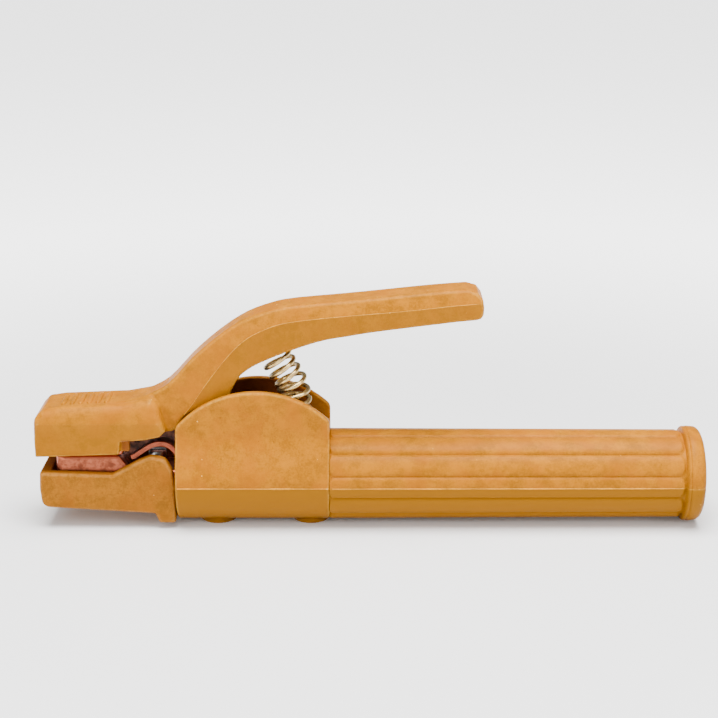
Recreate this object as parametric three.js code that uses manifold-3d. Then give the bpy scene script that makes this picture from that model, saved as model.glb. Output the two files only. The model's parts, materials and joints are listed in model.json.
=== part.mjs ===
// Spring-loaded electrode holder for arc welding, in millimetres, +Z up.
// The jaws point along -X, the cable enters at +X and the lever is on top.
// The origin is under the middle of the tool, on the surface it lies on.
import * as THREE from "three";
import { mergeVertices } from "three/addons/utils/BufferGeometryUtils.js";
import Module from "manifold-3d";

const wasm = await Module();
wasm.setup();

// Driving dimensions
const LENGTH = 280;
const FRONT_X = -LENGTH / 2;
const REAR_X = LENGTH / 2;
const FLANGE_R = 20.2;
const AXIS_Z = FLANGE_R;
const FLANGE_X = 132.5;
const BODY_FRONT_X = -81.6;
const BODY_REAR_X = -17.2;
const BODY_R = 19.2;
const HANDLE_R_FRONT = 19.3;
const HANDLE_R_REAR = 18.7;
const FLUTES = 12;
const FLUTE_DEPTH = 0.8;
const CABLE_BORE_R = 14.5;
const CHEEK_OUTER_Y = 12.7;
const SLOT_Y = 9.3;
const SLOT_FLOOR_Z = 13.7;
const SLOT_REAR_X = -20.5;
const WEB_TOP_Z = 42;
const CHEEK_ARC = { x: -48, z: 16, r: 44 };
const BOSS_R = 7.8;
const SHELL_SCREW_XS = [-65, -25.5];

const PIVOT = { x: -70, z: 40 };
const PIN_R = 3;
const RUNNING_GAP = 0.05;
const GAP = 0.3;
const HUB_R = 8;
const HUB_Y = 5;
const EAR_R = 8.5;
const EAR_INNER_Y = 6.2;
const EAR_OUTER_Y = 8.8;

const JAW_X = -133.2;
const TRAY_FRONT_X = -134.6;
const JAW_Y = 9;
const CONTACT_Z = 31;
const UPPER_JAW_X = [-133.2, -104];
const UPPER_JAW_Y = 8.2;
const JAW_GROOVE_XS = [-127, -118, -109];
const GROOVE_Y = 6.5;
const UPPER_SCREW_XS = [-122.5, -113.5];
const CAP_Y = 14.3;
const SHANK_Z = [14, 22];
const LOWER_CAP_SCREW_X = -90.5;
const STRAP_RIVET_X = -71.5;
const STRAP_THICKNESS = 1.8;

const LEVER_Y = 8.8;
const THUMB_Y = 9.5;
const THUMB_X = -48;
const LEVER_CHANNEL_Y = 6.8;
const LEVER_WALL = 3.6;
const ARM_Y = 5.8;
const ARM_DEPTH = 6;
const ARM_REAR_X = 2;
const COVER_SCREW_X = -8;

const SPRING_R = 6.1;
const SPRING_WIRE_R = 0.98;
const SPRING_TURNS = 14;
const SPRING_END_PITCH = 0.62;
const SPRING_X = -31.5;
const UPPER_SEAT = { x: -42.8, z: 79.3, tilt: 0.35 };
const SPRING_POCKET_R = 7.6;

const SOCKET = { x: [-14, 60], outer: 11, inner: 8.5 };
const CLAMP_SCREW_XS = [15, 40];

// Round surfaces are cut into this many sides
const SIDES = { large: 56, medium: 32, small: 20 };
const ARC_STEPS = 18;

// Shapes

function signedVolume(positions, triangles) {
  const corner = (i) => new THREE.Vector3().fromArray(positions, triangles[i] * 3);
  let volume = 0;
  for (let i = 0; i < triangles.length; i += 3) {
    volume += corner(i).dot(corner(i + 1).cross(corner(i + 2))) / 6;
  }
  return volume;
}

function toSolid(geometry) {
  geometry.deleteAttribute("normal");
  geometry.deleteAttribute("uv");
  const merged = mergeVertices(geometry, 1e-4);
  const positions = merged.attributes.position.array;
  const triangles = [];
  for (let i = 0; i < merged.index.count; i += 3) {
    const [a, b, c] = [0, 1, 2].map((k) => merged.index.getX(i + k));
    if (a !== b && b !== c && c !== a) {
      triangles.push(a, b, c);
    }
  }
  if (signedVolume(positions, triangles) < 0) {
    triangles.reverse();
  }
  const mesh = new wasm.Mesh({
    numProp: 3,
    vertProperties: new Float32Array(positions),
    triVerts: new Uint32Array(triangles),
  });
  return new wasm.Manifold(mesh);
}

function toGeometry(solid) {
  const mesh = solid.getMesh();
  const geometry = new THREE.BufferGeometry();
  geometry.setAttribute("position", new THREE.BufferAttribute(mesh.vertProperties, 3));
  geometry.setIndex(new THREE.BufferAttribute(mesh.triVerts, 1));
  geometry.computeVertexNormals();
  return geometry;
}

// A flat outline of [x, z] points, or a Shape, made thick from one y to another
function plate(outline, yLow, yHigh) {
  const shape = outline instanceof THREE.Shape
    ? outline
    : new THREE.Shape(outline.map(([x, z]) => new THREE.Vector2(x, z)));
  const options = { depth: yHigh - yLow, bevelEnabled: false, curveSegments: ARC_STEPS };
  const geometry = new THREE.ExtrudeGeometry(shape, options);
  geometry.rotateX(Math.PI / 2);
  geometry.translate(0, yHigh, 0);
  return toSolid(geometry);
}

function box([xLow, xHigh], [yLow, yHigh], [zLow, zHigh]) {
  const geometry = new THREE.BoxGeometry(xHigh - xLow, yHigh - yLow, zHigh - zLow);
  geometry.translate((xLow + xHigh) / 2, (yLow + yHigh) / 2, (zLow + zHigh) / 2);
  return toSolid(geometry);
}

// A profile of [x, radius] pairs turned about the handle's axis
function turned(profile, sides = SIDES.large) {
  const points = profile.map(([x, r]) => new THREE.Vector2(r, x));
  const geometry = new THREE.LatheGeometry(points, sides);
  geometry.rotateZ(-Math.PI / 2);
  geometry.translate(0, 0, AXIS_Z);
  return toSolid(geometry);
}

function uprightRod(x, [zLow, zHigh], radius, sides = SIDES.small) {
  const geometry = new THREE.CylinderGeometry(radius, radius, zHigh - zLow, sides);
  geometry.rotateX(Math.PI / 2);
  geometry.translate(x, 0, (zLow + zHigh) / 2);
  return toSolid(geometry);
}

function crossRod(centre, [yLow, yHigh], radius, sides = SIDES.medium) {
  const geometry = new THREE.CylinderGeometry(radius, radius, yHigh - yLow, sides);
  geometry.translate(centre.x, (yLow + yHigh) / 2, centre.z);
  return toSolid(geometry);
}

function smoothLine(points, steps) {
  const curve = new THREE.SplineCurve(points.map(([x, z]) => new THREE.Vector2(x, z)));
  return curve.getPoints(steps).map((p) => [p.x, p.y]);
}

// A line moved sideways to its right by a distance
function offsetLine(line, distance) {
  return line.map(([x, z], i) => {
    const [x0, z0] = line[Math.max(i - 1, 0)];
    const [x1, z1] = line[Math.min(i + 1, line.length - 1)];
    const span = Math.hypot(x1 - x0, z1 - z0);
    return [x + (z1 - z0) / span * distance, z - (x1 - x0) / span * distance];
  });
}

// Points of an arc about the pivot, from one angle to another in degrees
function pivotArc(radius, from, to) {
  const steps = 12;
  return Array.from({ length: steps + 1 }, (_, i) => {
    const angle = THREE.MathUtils.degToRad(from + (to - from) * i / steps);
    return [PIVOT.x + radius * Math.cos(angle), PIVOT.z + radius * Math.sin(angle)];
  });
}

// A cheese-head screw pointing up, with its head at the bottom
function screwUp(x, headZ, topZ, head, shaftR) {
  return uprightRod(x, [headZ, headZ + head.height], head.r)
    .add(uprightRod(x, [headZ + head.height / 2, topZ], shaftR));
}

// Ochre mouldings

const flutedHandle = () => {
  const perFlute = 6;
  const count = FLUTES * perFlute;
  const points = Array.from({ length: count }, (_, i) => {
    const angle = 2 * Math.PI * i / count;
    const crown = Math.abs(Math.cos(FLUTES / 2 * angle)) ** 0.6;
    const radius = HANDLE_R_FRONT - FLUTE_DEPTH * (1 - crown);
    return new THREE.Vector2(radius * Math.cos(angle), radius * Math.sin(angle));
  });
  const length = FLANGE_X - BODY_REAR_X + 2;
  const geometry = new THREE.ExtrudeGeometry(new THREE.Shape(points), {
    depth: length, steps: 1, bevelEnabled: false,
  });
  const places = geometry.attributes.position;
  const taper = HANDLE_R_REAR / HANDLE_R_FRONT - 1;
  for (let i = 0; i < places.count; i += 1) {
    const scale = 1 + taper * places.getZ(i) / length;
    places.setXY(i, places.getX(i) * scale, places.getY(i) * scale);
  }
  geometry.rotateY(Math.PI / 2);
  geometry.translate(BODY_REAR_X - 1, 0, AXIS_Z);
  return toSolid(geometry);
};

const cheekOutline = () => {
  const { x, z, r } = CHEEK_ARC;
  const rise = (atX) => Math.sqrt(r * r - (atX - x) ** 2);
  const shape = new THREE.Shape();
  shape.moveTo(BODY_FRONT_X, AXIS_Z);
  shape.lineTo(BODY_REAR_X, AXIS_Z);
  shape.lineTo(BODY_REAR_X, z + rise(BODY_REAR_X));
  const startAngle = Math.atan2(rise(BODY_REAR_X), BODY_REAR_X - x);
  const endAngle = Math.atan2(rise(BODY_FRONT_X), BODY_FRONT_X - x);
  shape.absarc(x, z, r, startAngle, endAngle, false);
  shape.lineTo(BODY_FRONT_X, AXIS_Z);
  return shape;
};

const handleShell = () => {
  const edge = 1;
  const body = turned([
    [BODY_FRONT_X, 0], [BODY_FRONT_X, BODY_R - edge], [BODY_FRONT_X + edge, BODY_R],
    [BODY_REAR_X, BODY_R], [BODY_REAR_X, 0],
  ]);
  const flange = turned([
    [FLANGE_X, 0], [FLANGE_X, FLANGE_R - 1.2], [FLANGE_X + 1.2, FLANGE_R], [REAR_X - 3, FLANGE_R],
    [REAR_X - 1, FLANGE_R - 0.9], [REAR_X, FLANGE_R - 3], [REAR_X, 0],
  ]);
  let shell = body.add(flange).add(flutedHandle());
  shell = shell.add(plate(cheekOutline(), -CHEEK_OUTER_Y, CHEEK_OUTER_Y));
  for (const x of SHELL_SCREW_XS) {
    shell = shell.add(uprightRod(x, [0, AXIS_Z / 2], BOSS_R, SIDES.medium));
  }
  shell = shell.subtract(box([BODY_FRONT_X - 1, SLOT_REAR_X], [-SLOT_Y, SLOT_Y], [SLOT_FLOOR_Z, 90]));
  shell = shell.subtract(box([SLOT_REAR_X - 1, BODY_REAR_X + 1], [-SLOT_Y, SLOT_Y], [WEB_TOP_Z, 90]));
  shell = shell.subtract(turned([
    [SLOT_REAR_X - 0.5, 0], [SLOT_REAR_X - 0.5, CABLE_BORE_R],
    [REAR_X + 1, CABLE_BORE_R], [REAR_X + 1, 0],
  ]));
  for (const x of SHELL_SCREW_XS) {
    shell = shell.subtract(uprightRod(x, [-1, 6], 5.4));
    shell = shell.subtract(uprightRod(x, [5, SLOT_FLOOR_Z + 1], 3.3));
  }
  return shell;
};

// The lever's upper line, from the back of the jaw block to the thumb end
const LEVER_TOP = smoothLine([
  [-106, 53.6], [-98, 54.8], [-91.5, 57.8], [-84, 62.4], [-73.6, 73.6], [-62.7, 83], [-52.6, 89.7], [-42.4, 93.6],
  [-32.3, 95.8], [-6.6, 98.2], [24, 101.4], [39.5, 102.7],
], 30);

const LEVER_TIP = [[43.8, 101.2], [45.9, 98.4], [46.4, 95], [46.2, 92], [45.2, 90.4], [43.2, 89.8]];

const LEVER_UNDERSIDE = smoothLine([
  [35, 89], [3.7, 85], [-8.5, 83], [-22.7, 80.2], [-43.5, 72.4], [-53.5, 66.4], [-58, 59.3],
], 20);

const UPPER_BLOCK = [
  [FRONT_X, 32.2], [-109, 33.2], [-105, 33.4], [-104.4, 38.9], [-94, 39.8], [-88, 41], [-85.6, 43.2],
  [-88.5, 53.8], [-91, 56.6], [-103, 54.3], [-130, 53.1], [-136, 51.9], [-138.8, 49.4], [FRONT_X, 46],
];

// Lower edge of the arm behind the jaw block
const ARM_FOOT = [[-82.4, 42.1], [-84, 41.5], [-91, 41], [-100, 46]];

const POCKET_TOP_Z = 45.6;
const ARM_FRONT_X = -133;

const leverCover = () => {
  const underArc = pivotArc(11.3, 40, 160);
  const arm = [...LEVER_TOP, ...LEVER_TIP, ...LEVER_UNDERSIDE, ...underArc, ...ARM_FOOT];
  const thumb = plate(arm, -THUMB_Y, THUMB_Y).subtract(box([FRONT_X, THUMB_X], [-20, 20], [0, 120]));
  const channelTop = offsetLine(LEVER_TOP, LEVER_WALL).filter(([x]) => x > -85 && x < 30);
  const channel = [
    ...channelTop, [30, 70], [-50, 20], [ARM_FRONT_X - 0.4, 20],
    [ARM_FRONT_X - 0.4, POCKET_TOP_Z], [-96, POCKET_TOP_Z],
  ];
  return plate(UPPER_BLOCK, -CAP_Y, CAP_Y)
    .add(plate(arm, -LEVER_Y, LEVER_Y))
    .add(thumb)
    .subtract(seatPiece([[0, -14], [SPRING_POCKET_R, -14], [SPRING_POCKET_R, 2], [0, 2]]))
    .subtract(plate(channel, -LEVER_CHANNEL_Y, LEVER_CHANNEL_Y))
    .subtract(box([UPPER_JAW_X[0] - 0.4, -96], [-UPPER_JAW_Y - 0.4, UPPER_JAW_Y + 0.4], [20, 37.7]))
    .subtract(uprightRod(COVER_SCREW_X, [85, 96.9], 2.1));
};

const LOWER_BLOCK = [
  [-138.6, 25.3], [-138.9, 18.3], [-137.9, 13], [-134.5, 9.7], [-90.8, 7], [-89.1, 2.7],
  [-82.3, 2.7], [-82.3, 18.3], [-83, 24.2], [-85, 28.4], [-88, 30.8], [-91.8, 31.6],
  [-95.6, 30.6], [-108.2, 24.2],
];

const lowerJawCap = () => plate(LOWER_BLOCK, -CAP_Y, CAP_Y)
  .subtract(box([TRAY_FRONT_X, -80], [-JAW_Y - GAP, JAW_Y + GAP], [SHANK_Z[0] - 0.4, 40]))
  .subtract(uprightRod(LOWER_CAP_SCREW_X, [8.8, 20], 3.9));

// Copper

// Cross grooves grip the electrode, and stop short of the jaws' sides
const jawGrooves = (jaw) => {
  const half = 2.2;
  const middle = CONTACT_Z + GAP / 2;
  for (const x of JAW_GROOVE_XS) {
    const groove = [
      [x - half, middle], [x, CONTACT_Z - half], [x + half, middle], [x, CONTACT_Z + GAP + half],
    ];
    jaw = jaw.subtract(plate(groove, -GROOVE_Y, GROOVE_Y));
  }
  return jaw;
};

const lowerJaw = () => {
  const bar = [
    [JAW_X, 15], [JAW_X, CONTACT_Z], [-106.2, CONTACT_Z], [-101, 24.5], [-80.5, 24.5],
    [-79, SHANK_Z[1]], [-18, SHANK_Z[1]], [-18, SHANK_Z[0]], [-80, SHANK_Z[0]], [-98, 15],
  ];
  const ear = [
    [PIVOT.x - EAR_R, SHANK_Z[1] - 1], [PIVOT.x + EAR_R, SHANK_Z[1] - 1], ...pivotArc(EAR_R, 0, 180),
  ];
  const spigotR = SOCKET.inner - GAP;
  let jaw = plate(bar, -JAW_Y, JAW_Y)
    .subtract(box([-82, 0], [EAR_OUTER_Y, 20], [0, 60]))
    .subtract(box([-82, 0], [-20, -EAR_OUTER_Y], [0, 60]))
    .add(plate(ear, -EAR_OUTER_Y, EAR_OUTER_Y))
    .subtract(box([-82, -50], [-EAR_INNER_Y, EAR_INNER_Y], [SHANK_Z[1], 60]))
    .add(turned([[-20, 0], [-20, 6], [-16, spigotR], [-2, spigotR], [-2, 0]], SIDES.medium));
  jaw = jawGrooves(jaw)
    .subtract(crossRod(PIVOT, [-20, 20], PIN_R + RUNNING_GAP))
    .subtract(uprightRod(LOWER_CAP_SCREW_X, [10, 40], 2.8))
    .subtract(uprightRod(STRAP_RIVET_X, [17, 40], 2.1))
    .subtract(uprightRod(SPRING_X, [18.5, 40], 2.8));
  for (const x of SHELL_SCREW_XS) {
    jaw = jaw.subtract(uprightRod(x, [10, 20.5], 3.3));
  }
  return jaw;
};

const upperJaw = () => {
  let jaw = box(UPPER_JAW_X, [-UPPER_JAW_Y, UPPER_JAW_Y], [CONTACT_Z + GAP, 37.3]);
  jaw = jawGrooves(jaw);
  for (const x of UPPER_SCREW_XS) {
    jaw = jaw.subtract(uprightRod(x, [20, 33.4], 3.2)).subtract(uprightRod(x, [30, 40], 2.1));
  }
  return jaw;
};

// From under the arm's toe, over the pivot's front, to the rivet on the lower jaw's shank
const STRAP_LINE = smoothLine([
  [-100.8, 30], [-98.8, 30.9], [-96.4, 32.6], [-93, 34.8], [-90.6, 35.7], [-88.3, 36], [-86, 35.6],
  [-84, 34.4], [-82, 32.2], [-79.6, 28], [-77.6, 24.6], [-74.6, 23.3], [-66.5, 23.3],
], 36);

const contactStrap = () => {
  const half = STRAP_THICKNESS / 2;
  const outline = [...offsetLine(STRAP_LINE, -half), ...offsetLine(STRAP_LINE, half).reverse()];
  const wide = plate(outline, -8, 8).subtract(box([-79.2, 0], [-20, 20], [0, 60]));
  return wide.add(plate(outline, -5.6, 5.6))
    .subtract(uprightRod(STRAP_RIVET_X, [17, 40], 2.1));
};

const cableSocket = () => {
  const { x: [front, rear], outer, inner } = SOCKET;
  let tube = turned([
    [front, inner], [front, outer], [rear - 1, outer], [rear, outer - 1], [rear, inner], [front, inner],
  ], SIDES.medium);
  for (const x of CLAMP_SCREW_XS) {
    tube = tube.subtract(uprightRod(x, [AXIS_Z, 50], 4.3));
  }
  return tube;
};

// Steel, brass and small pieces

// Lower edge of the arm's toe, behind the upper jaw and clear of the strap
const ARM_TOE = [[-103.6, 37.6], [-103.6, 31.4], [-101, 31.4], [-98.9, 32.4], [-96.2, 34.4], [-92.8, 36.6]];

const leverArm = () => {
  const topOffset = LEVER_WALL + 0.4;
  const top = offsetLine(LEVER_TOP, topOffset).filter(([x]) => x > -80 && x < ARM_REAR_X);
  const under = offsetLine(LEVER_TOP, topOffset + ARM_DEPTH)
    .filter(([x]) => x > -63 && x < ARM_REAR_X);
  const arm = [
    [ARM_FRONT_X, 37.6], ...ARM_TOE, [-88, 38.6], ...pivotArc(HUB_R, 200, 400), [-62, 54], ...under,
    ...top.reverse(), [-94, POCKET_TOP_Z - 0.4], [ARM_FRONT_X, POCKET_TOP_Z - 0.4],
  ];
  let solid = plate(arm, -ARM_Y, ARM_Y)
    .subtract(crossRod(PIVOT, [HUB_Y, 20], EAR_R + 0.4))
    .subtract(crossRod(PIVOT, [-20, -HUB_Y], EAR_R + 0.4))
    .subtract(crossRod(PIVOT, [-20, 20], PIN_R + 1.7))
    .subtract(uprightRod(COVER_SCREW_X, [60, 99], 2.1));
  for (const x of UPPER_SCREW_XS) {
    solid = solid.subtract(uprightRod(x, [30, 44], 2.1));
  }
  return solid.subtract(seatPiece([[0, -4], [2.3, -4], [2.3, 8], [0, 8]]));
};

// A round piece on the tilted axis of the spring's upper seat, from [radius, height] pairs
function seatPiece(profile) {
  const geometry = new THREE.LatheGeometry(profile.map(([r, h]) => new THREE.Vector2(r, h)), SIDES.small);
  geometry.rotateX(Math.PI / 2);
  geometry.rotateY(-UPPER_SEAT.tilt);
  geometry.translate(UPPER_SEAT.x, 0, UPPER_SEAT.z);
  return toSolid(geometry);
}

const upperSpringSeat = () => seatPiece([
  [0, -4], [3.4, -4], [4, -3], [4, 0], [7.1, 0], [7.1, 1.7], [2, 1.7], [2, 6], [0, 6],
]);

const lowerSpringSeat = () => {
  const base = SHANK_Z[1] + GAP;
  return uprightRod(SPRING_X, [base, base + 2], 8.4, SIDES.medium)
    .add(uprightRod(SPRING_X, [base, base + 7], 3.9))
    .add(uprightRod(SPRING_X, [19, base + 1], 2.5));
};

class SpringWire extends THREE.Curve {
  constructor() {
    super();
    const points = [
      [SPRING_X, 25.7], [SPRING_X, 42], [SPRING_X - 0.1, 50], [-32.4, 57.9], [-33.7, 61.9],
      [-35.9, 65.5], [-39.2, 71.3], [-42.1, 77.7],
    ];
    this.centre = new THREE.CatmullRomCurve3(points.map(([x, z]) => new THREE.Vector3(x, 0, z)));
  }

  getPoint(t) {
    // The first and last turns lie close, the others are evenly open
    const flat = 1.2 / SPRING_TURNS;
    const open = (1 - 2 * flat * SPRING_END_PITCH) / (1 - 2 * flat);
    const along = t < flat ? t * SPRING_END_PITCH
      : t > 1 - flat ? 1 - (1 - t) * SPRING_END_PITCH
        : flat * SPRING_END_PITCH + (t - flat) * open;
    const centre = this.centre.getPointAt(along);
    const tangent = this.centre.getTangentAt(along);
    const side = new THREE.Vector3(tangent.z, 0, -tangent.x);
    const angle = 2 * Math.PI * SPRING_TURNS * t;
    return centre
      .addScaledVector(side, SPRING_R * Math.cos(angle))
      .add(new THREE.Vector3(0, SPRING_R * Math.sin(angle), 0));
  }
}

const spring = () => {
  const wire = new THREE.Shape();
  wire.absarc(0, 0, SPRING_WIRE_R, 0, 2 * Math.PI);
  return toSolid(new THREE.ExtrudeGeometry(wire, {
    steps: SPRING_TURNS * 12, curveSegments: 3, extrudePath: new SpringWire(), bevelEnabled: false,
  }));
};

const hubWasher = (y) => crossRod(PIVOT, y, HUB_R - 1)
  .subtract(crossRod(PIVOT, [-20, 20], PIN_R + 0.2));

const pivotBush = () => crossRod(PIVOT, [-HUB_Y, HUB_Y], PIN_R + 1.4)
  .subtract(crossRod(PIVOT, [-20, 20], PIN_R + RUNNING_GAP));

const shellScrew = (x) => screwUp(x, 1.2, 20, { r: 4.9, height: 3.2 }, 3);
const shellWasher = (x) => uprightRod(x, [4.7, 5.7], 5.1).subtract(uprightRod(x, [0, 10], 3.3));

const lowerCapScrew = () => uprightRod(LOWER_CAP_SCREW_X, [24.8, 30.8], 3.8)
  .add(uprightRod(LOWER_CAP_SCREW_X, [10, 26], 2.5));
const lowerCapInsert = () => uprightRod(LOWER_CAP_SCREW_X, [9.1, 13.4], 3.6)
  .subtract(uprightRod(LOWER_CAP_SCREW_X, [9.6, 20], 2.8));

const strapRivet = () => uprightRod(STRAP_RIVET_X, [24.5, 26], 3.4)
  .add(uprightRod(STRAP_RIVET_X, [17.4, 25], 1.8));

const upperJawScrew = (x) => screwUp(x, 31.6, 43.6, { r: 2.9, height: 1.5 }, 1.8);

const coverScrew = () => {
  const headZ = 83.9;
  return screwUp(COVER_SCREW_X, headZ, 96.5, { r: 3.4, height: 2.4 }, 1.8);
};

const clampShoe = () => box([6, 50], [-4.5, 4.5], [24.2, 26.6]);
const clampScrew = (x) => uprightRod(x, [26.9, 33.6], 4)
  .subtract(uprightRod(x, [31.6, 40], 2, 6));

// Assembly

const OCHRE = { color: 0xcd8c28, roughness: 0.5, metalness: 0 };
const TAN = { color: 0xc8914b, roughness: 0.6, metalness: 0 };
const COPPER = { color: 0xd6785c, roughness: 0.35, metalness: 1 };
const STEEL = { color: 0x969b96, roughness: 0.35, metalness: 1 };
const BRASS = { color: 0xe1d2a0, roughness: 0.3, metalness: 1 };

const holder = new THREE.Group();
const lever = new THREE.Group();
lever.position.set(PIVOT.x, 0, PIVOT.z);
holder.add(lever);

function addPiece(group, name, solid, finish) {
  const geometry = toGeometry(solid);
  geometry.translate(-group.position.x, 0, -group.position.z);
  const piece = new THREE.Mesh(geometry, new THREE.MeshStandardMaterial(finish));
  piece.name = name;
  group.add(piece);
}

const FIXED_PIECES = {
  handle_shell: [handleShell(), OCHRE],
  lower_jaw_cap: [lowerJawCap(), TAN],
  lower_jaw: [lowerJaw(), COPPER],
  contact_strap: [contactStrap(), COPPER],
  cable_socket: [cableSocket(), COPPER],
  pivot_pin: [crossRod(PIVOT, [-EAR_OUTER_Y, EAR_OUTER_Y], PIN_R), STEEL],
  hub_washer_near: [hubWasher([-6.1, -5.1]), BRASS],
  hub_washer_far: [hubWasher([5.1, 6.1]), BRASS],
  spring: [spring(), BRASS],
  lower_spring_seat: [lowerSpringSeat(), STEEL],
  shell_screw_front: [shellScrew(SHELL_SCREW_XS[0]), STEEL],
  shell_screw_rear: [shellScrew(SHELL_SCREW_XS[1]), STEEL],
  shell_washer_front: [shellWasher(SHELL_SCREW_XS[0]), STEEL],
  shell_washer_rear: [shellWasher(SHELL_SCREW_XS[1]), STEEL],
  lower_cap_screw: [lowerCapScrew(), STEEL],
  lower_cap_insert: [lowerCapInsert(), BRASS],
  strap_rivet: [strapRivet(), COPPER],
  clamp_shoe: [clampShoe(), COPPER],
  clamp_screw_front: [clampScrew(CLAMP_SCREW_XS[0]), STEEL],
  clamp_screw_rear: [clampScrew(CLAMP_SCREW_XS[1]), STEEL],
};

const LEVER_PIECES = {
  lever_cover: [leverCover(), OCHRE],
  lever_arm: [leverArm(), STEEL],
  upper_jaw: [upperJaw(), COPPER],
  pivot_bush: [pivotBush(), BRASS],
  upper_spring_seat: [upperSpringSeat(), STEEL],
  upper_jaw_screw_front: [upperJawScrew(UPPER_SCREW_XS[0]), STEEL],
  upper_jaw_screw_rear: [upperJawScrew(UPPER_SCREW_XS[1]), STEEL],
  lever_cover_screw: [coverScrew(), STEEL],
};

for (const [name, [solid, finish]] of Object.entries(FIXED_PIECES)) {
  addPiece(holder, name, solid, finish);
}
for (const [name, [solid, finish]] of Object.entries(LEVER_PIECES)) {
  addPiece(lever, name, solid, finish);
}

export default holder;
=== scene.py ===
"""Looks of a tong-type electrode holder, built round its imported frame.

Lengths in the piece functions are millimetres in the frame's axes: the jaws point along -X, the
cable enters at +X and the lever is above the handle. Meshes are turned into metres as they are made.
"""
import json
import math

import bpy
import numpy as np
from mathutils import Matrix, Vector


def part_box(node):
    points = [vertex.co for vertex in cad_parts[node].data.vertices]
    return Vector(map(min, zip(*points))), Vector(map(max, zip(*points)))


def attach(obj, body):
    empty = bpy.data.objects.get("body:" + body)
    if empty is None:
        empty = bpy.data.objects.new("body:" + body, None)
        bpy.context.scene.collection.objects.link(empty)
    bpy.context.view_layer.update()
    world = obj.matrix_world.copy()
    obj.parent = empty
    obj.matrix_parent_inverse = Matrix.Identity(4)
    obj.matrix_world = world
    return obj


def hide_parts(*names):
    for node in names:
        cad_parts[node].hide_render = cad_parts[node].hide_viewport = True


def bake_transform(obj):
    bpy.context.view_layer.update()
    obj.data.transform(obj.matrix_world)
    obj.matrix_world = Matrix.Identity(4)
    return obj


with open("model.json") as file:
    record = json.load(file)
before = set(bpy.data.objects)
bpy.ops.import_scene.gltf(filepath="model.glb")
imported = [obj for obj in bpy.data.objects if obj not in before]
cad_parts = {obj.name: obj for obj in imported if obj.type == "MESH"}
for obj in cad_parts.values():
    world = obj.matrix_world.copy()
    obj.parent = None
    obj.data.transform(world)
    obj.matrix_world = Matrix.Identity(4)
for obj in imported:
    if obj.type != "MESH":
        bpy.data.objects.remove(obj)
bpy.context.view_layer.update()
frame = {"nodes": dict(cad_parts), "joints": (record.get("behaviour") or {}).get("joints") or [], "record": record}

bl_info = {
    "name": "Electrode holder",
    "version": (1, 0, 0),
    "blender": (4, 5, 0),
    "location": "3D View > Sidebar > Holder",
    "description": "Builds the mouldings, copper, spring and fasteners of a welding electrode holder",
    "category": "Add Mesh",
}

MM = 0.001


def box_mm(node):
    """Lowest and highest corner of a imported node, in millimetres."""
    return [Vector(corner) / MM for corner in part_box(node)]


def centre_mm(node):
    """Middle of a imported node's box, in millimetres."""
    low, high = box_mm(node)
    return (low + high) / 2


SHELL_LOW, SHELL_HIGH = box_mm("handle_shell")
COVER_LOW, COVER_HIGH = box_mm("lever_cover")
CAP_LOW, CAP_HIGH = box_mm("lower_jaw_cap")
JAW_LOW, JAW_HIGH = box_mm("lower_jaw")
UPPER_LOW, UPPER_HIGH = box_mm("upper_jaw")
SPRING_R = box_mm("spring")[1].y
PIVOT = [v / MM for v in frame["joints"][0]["pos_m"]]

# Handle and body
REAR = SHELL_HIGH.x
BODY_FRONT = SHELL_LOW.x
BODY_REAR = BODY_FRONT + 64.4
AXIS = SHELL_HIGH.y
BODY_R = AXIS - 1.0
BODY_FILLET = 5.5
BORE_R = 14.5
BORE_INTO_BODY = 3.6
CREST_FRONT = AXIS - 0.9
CREST_REAR = AXIS - 1.5
LAP = 3.2
FLANGE_FRONT = REAR - 8
FLANGE_ROUND = 3.6
CHEEK_Y = 12.7
CHEEK_X = BODY_FRONT + 33.6
CHEEK_Z = 16
CHEEK_R = SHELL_HIGH.z - CHEEK_Z
SLOT_Y = 9.3
SLOT_FLOOR = 13.7
SLOT_WALL = 3.3
GAP_FLOOR = 42
BOSSES = [sum(c.x for c in box_mm(f"shell_screw_{end}")) / 2 for end in ("front", "rear")]
BOSS_R = 7.8
WELL_R, WELL_TOP = 5.4, 6
HOLE_R, HOLE_TOP = 3.3, 14.5

# Lever and jaw mouldings
FRONT = COVER_LOW.x
BLOCK_Y = 14.3
BLOCK_REAR = -86
FLASH_Z = 46.8
ARM_Y = 8.65
THUMB_Y = 9.45
HUB_R = 11.3
LEVER_WALL = 3.6
CHANNEL_Y = 6.8
CONTACT_GAP = 0.4
CHANNEL_FRONT = -133.4
TRAY_FLOOR = 13.6
TRAY_FRONT_GAP, TRAY_SIDE_GAP = 1.4, 0.3

# Copper
CONTACT_Z = UPPER_LOW.z - 0.3
GROOVE_Z = CONTACT_Z + 0.15
GROOVES_X = (-127, -118, -109)
GROOVE_DEPTH = 2.2
GROOVE_Y = 6.5
ROOT_2 = 1.4142
SHANK_Y = 8.8
SHANK_REAR, SHANK_TOP = -18, 22
EAR_R = 8.5
PIN_HOLE_R = 3.05
SPIGOT_R = 8.2
SPIGOT = (-17, -2)
STRAP_THICKNESS = 1.8
STRAP_WIDTH = 16.0


# Distance fields: negative inside, in millimetres

def slab(v, low, high):
    """Distance to what lies between two planes."""
    return np.abs(v - (low + high) / 2) - (high - low) / 2


def both(a, b, radius):
    """What lies in a and in b, with their common edge rounded."""
    corner = np.hypot(np.maximum(a + radius, 0), np.maximum(b + radius, 0))
    return np.minimum(-radius, np.maximum(a, b)) + corner


def either(a, b, radius):
    """What lies in a or in b, with a fillet where they meet."""
    corner = np.hypot(np.maximum(radius - a, 0), np.maximum(radius - b, 0))
    return np.maximum(radius, np.minimum(a, b)) - corner


def without(a, b, radius):
    """What lies in a but not in b, with the edge rounded."""
    return both(a, -b, radius)


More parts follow.
